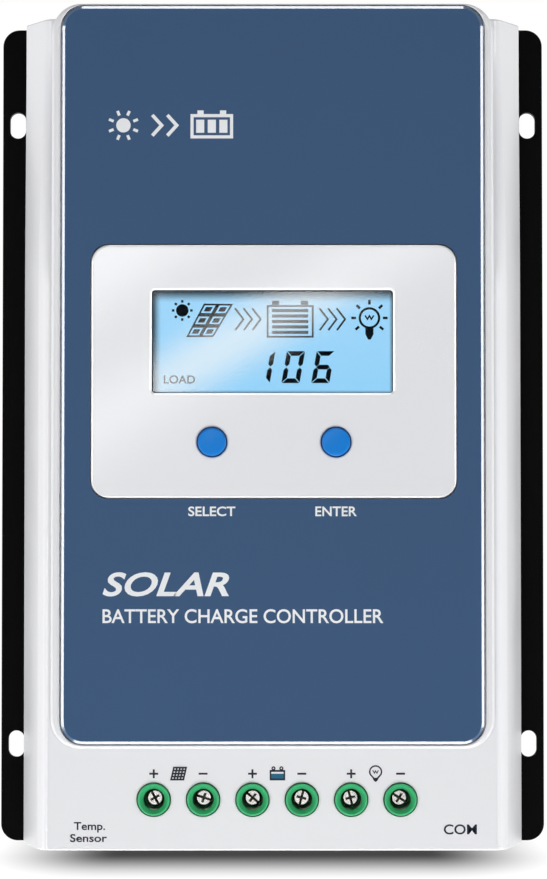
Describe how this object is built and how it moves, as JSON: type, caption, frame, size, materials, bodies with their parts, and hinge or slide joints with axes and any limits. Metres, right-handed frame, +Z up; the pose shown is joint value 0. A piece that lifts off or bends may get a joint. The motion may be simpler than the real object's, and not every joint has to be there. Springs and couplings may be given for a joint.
{
  "type": "charge controller",
  "caption": "Wall-mounted solar charge controller with finned back, slotted side flanges, backlit display, push-buttons and screw-clamp terminals along the lower edge.",
  "frame": {"origin": "centre of the wall plane behind the heat sink", "axes": "+X to the right seen from the front, +Z up, +Y into the wall; the front faces -Y"},
  "size_m": [0.18, 0.0638, 0.27],
  "materials": {
    "black_anodised": "black anodised, satin",
    "white_plastic": "satin moulded",
    "blue_plate": "satin printed front plate",
    "bezel_grey": "smooth light grey",
    "clear_window": "clear acrylic",
    "lcd_glass": "backlit liquid crystal panel",
    "backlight_white": "diffuser",
    "button_blue": "satin",
    "switch_black": "moulded",
    "board_green": "solder mask",
    "terminal_green": "moulded",
    "nickel": "nickel plated",
    "zinc": "zinc plated",
    "tinned_copper": "tinned",
    "socket_black": "moulded",
    "gold_contact": "gold flashed",
    "cable_grey": "flat cable",
    "ferrite": "coated powder core",
    "copper": "enamelled wire",
    "capacitor_sleeve": "shrink sleeve",
    "epoxy_black": "moulded",
    "thermal_pad": "silicone pad",
    "brass": "turned"
  },
  "bodies": {
    "controller": {"heat_sink": "black_anodised", "housing": "white_plastic", "fascia_panel": "blue_plate", "display_bezel": "bezel_grey", "display_window": "clear_window", "lcd_panel": "lcd_glass", "lcd_backlight": "backlight_white", "display_board": "board_green", "main_board": "board_green", "select_switch": "switch_black", "enter_switch": "switch_black", "solar_terminal_block": "terminal_green", "battery_terminal_block": "terminal_green", "load_terminal_block": "terminal_green", "sensor_socket": "terminal_green", "solar_plus_current_bar": "tinned_copper", "solar_minus_current_bar": "tinned_copper", "battery_plus_current_bar": "tinned_copper", "battery_minus_current_bar": "tinned_copper", "load_plus_current_bar": "tinned_copper", "load_minus_current_bar": "tinned_copper", "com_socket": "socket_black", "com_contacts": "gold_contact", "sensor_contacts": "tinned_copper", "display_cable": "cable_grey", "inductor_core": "ferrite", "inductor_winding": "copper", "capacitor_1": "capacitor_sleeve", "capacitor_2": "capacitor_sleeve", "capacitor_3": "capacitor_sleeve", "transistor_1": "epoxy_black", "transistor_2": "epoxy_black", "transistor_3": "epoxy_black", "thermal_pad": "thermal_pad", "cover_screw_1": "zinc", "cover_screw_2": "zinc", "cover_screw_3": "zinc", "cover_screw_4": "zinc", "board_screw_1": "zinc", "board_screw_2": "zinc", "board_screw_3": "zinc", "board_screw_4": "zinc", "board_standoff_1": "brass", "board_standoff_2": "brass", "board_standoff_3": "brass", "board_standoff_4": "brass"},
    "select_button": {"select_button": "button_blue"},
    "enter_button": {"enter_button": "button_blue"},
    "solar_plus_clamp_screw": {"solar_plus_clamp_screw": "nickel"},
    "solar_plus_clamp_cage": {"solar_plus_clamp_cage": "zinc"},
    "solar_minus_clamp_screw": {"solar_minus_clamp_screw": "nickel"},
    "solar_minus_clamp_cage": {"solar_minus_clamp_cage": "zinc"},
    "battery_plus_clamp_screw": {"battery_plus_clamp_screw": "nickel"},
    "battery_plus_clamp_cage": {"battery_plus_clamp_cage": "zinc"},
    "battery_minus_clamp_screw": {"battery_minus_clamp_screw": "nickel"},
    "battery_minus_clamp_cage": {"battery_minus_clamp_cage": "zinc"},
    "load_plus_clamp_screw": {"load_plus_clamp_screw": "nickel"},
    "load_plus_clamp_cage": {"load_plus_clamp_cage": "zinc"},
    "load_minus_clamp_screw": {"load_minus_clamp_screw": "nickel"},
    "load_minus_clamp_cage": {"load_minus_clamp_cage": "zinc"}
  },
  "joints": [
    {"name": "select_press", "type": "slide", "parent": "controller", "child": "select_button", "axis": [0, 1, 0], "range_m": [0, 0.0005], "stiffness_N_per_m": 1500},
    {"name": "enter_press", "type": "slide", "parent": "controller", "child": "enter_button", "axis": [0, 1, 0], "range_m": [0, 0.0005], "stiffness_N_per_m": 1500},
    {"name": "solar_plus_screw_turn", "type": "hinge", "parent": "controller", "child": "solar_plus_clamp_screw", "pos_m": [-0.0377, -0.0455, -0.1189], "axis": [0, 1, 0], "range_deg": [0, 2053]},
    {"name": "solar_plus_cage_lift", "type": "slide", "parent": "controller", "child": "solar_plus_clamp_cage", "axis": [0, -1, 0], "range_m": [0, 0.00399]},
    {"name": "solar_minus_screw_turn", "type": "hinge", "parent": "controller", "child": "solar_minus_clamp_screw", "pos_m": [-0.02204, -0.0455, -0.1189], "axis": [0, 1, 0], "range_deg": [0, 2053]},
    {"name": "solar_minus_cage_lift", "type": "slide", "parent": "controller", "child": "solar_minus_clamp_cage", "axis": [0, -1, 0], "range_m": [0, 0.00399]},
    {"name": "battery_plus_screw_turn", "type": "hinge", "parent": "controller", "child": "battery_plus_clamp_screw", "pos_m": [-0.00638, -0.0455, -0.1189], "axis": [0, 1, 0], "range_deg": [0, 2053]},
    {"name": "battery_plus_cage_lift", "type": "slide", "parent": "controller", "child": "battery_plus_clamp_cage", "axis": [0, -1, 0], "range_m": [0, 0.00399]},
    {"name": "battery_minus_screw_turn", "type": "hinge", "parent": "controller", "child": "battery_minus_clamp_screw", "pos_m": [0.00928, -0.0455, -0.1189], "axis": [0, 1, 0], "range_deg": [0, 2053]},
    {"name": "battery_minus_cage_lift", "type": "slide", "parent": "controller", "child": "battery_minus_clamp_cage", "axis": [0, -1, 0], "range_m": [0, 0.00399]},
    {"name": "load_plus_screw_turn", "type": "hinge", "parent": "controller", "child": "load_plus_clamp_screw", "pos_m": [0.02494, -0.0455, -0.1189], "axis": [0, 1, 0], "range_deg": [0, 2053]},
    {"name": "load_plus_cage_lift", "type": "slide", "parent": "controller", "child": "load_plus_clamp_cage", "axis": [0, -1, 0], "range_m": [0, 0.00399]},
    {"name": "load_minus_screw_turn", "type": "hinge", "parent": "controller", "child": "load_minus_clamp_screw", "pos_m": [0.0406, -0.0455, -0.1189], "axis": [0, 1, 0], "range_deg": [0, 2053]},
    {"name": "load_minus_cage_lift", "type": "slide", "parent": "controller", "child": "load_minus_clamp_cage", "axis": [0, -1, 0], "range_m": [0, 0.00399]}
  ],
  "couplings": [
    {"joint": "solar_plus_screw_turn", "follows": "solar_plus_cage_lift", "rad_per_m": 8976},
    {"joint": "solar_minus_screw_turn", "follows": "solar_minus_cage_lift", "rad_per_m": 8976},
    {"joint": "battery_plus_screw_turn", "follows": "battery_plus_cage_lift", "rad_per_m": 8976},
    {"joint": "battery_minus_screw_turn", "follows": "battery_minus_cage_lift", "rad_per_m": 8976},
    {"joint": "load_plus_screw_turn", "follows": "load_plus_cage_lift", "rad_per_m": 8976},
    {"joint": "load_minus_screw_turn", "follows": "load_minus_cage_lift", "rad_per_m": 8976}
  ]
}
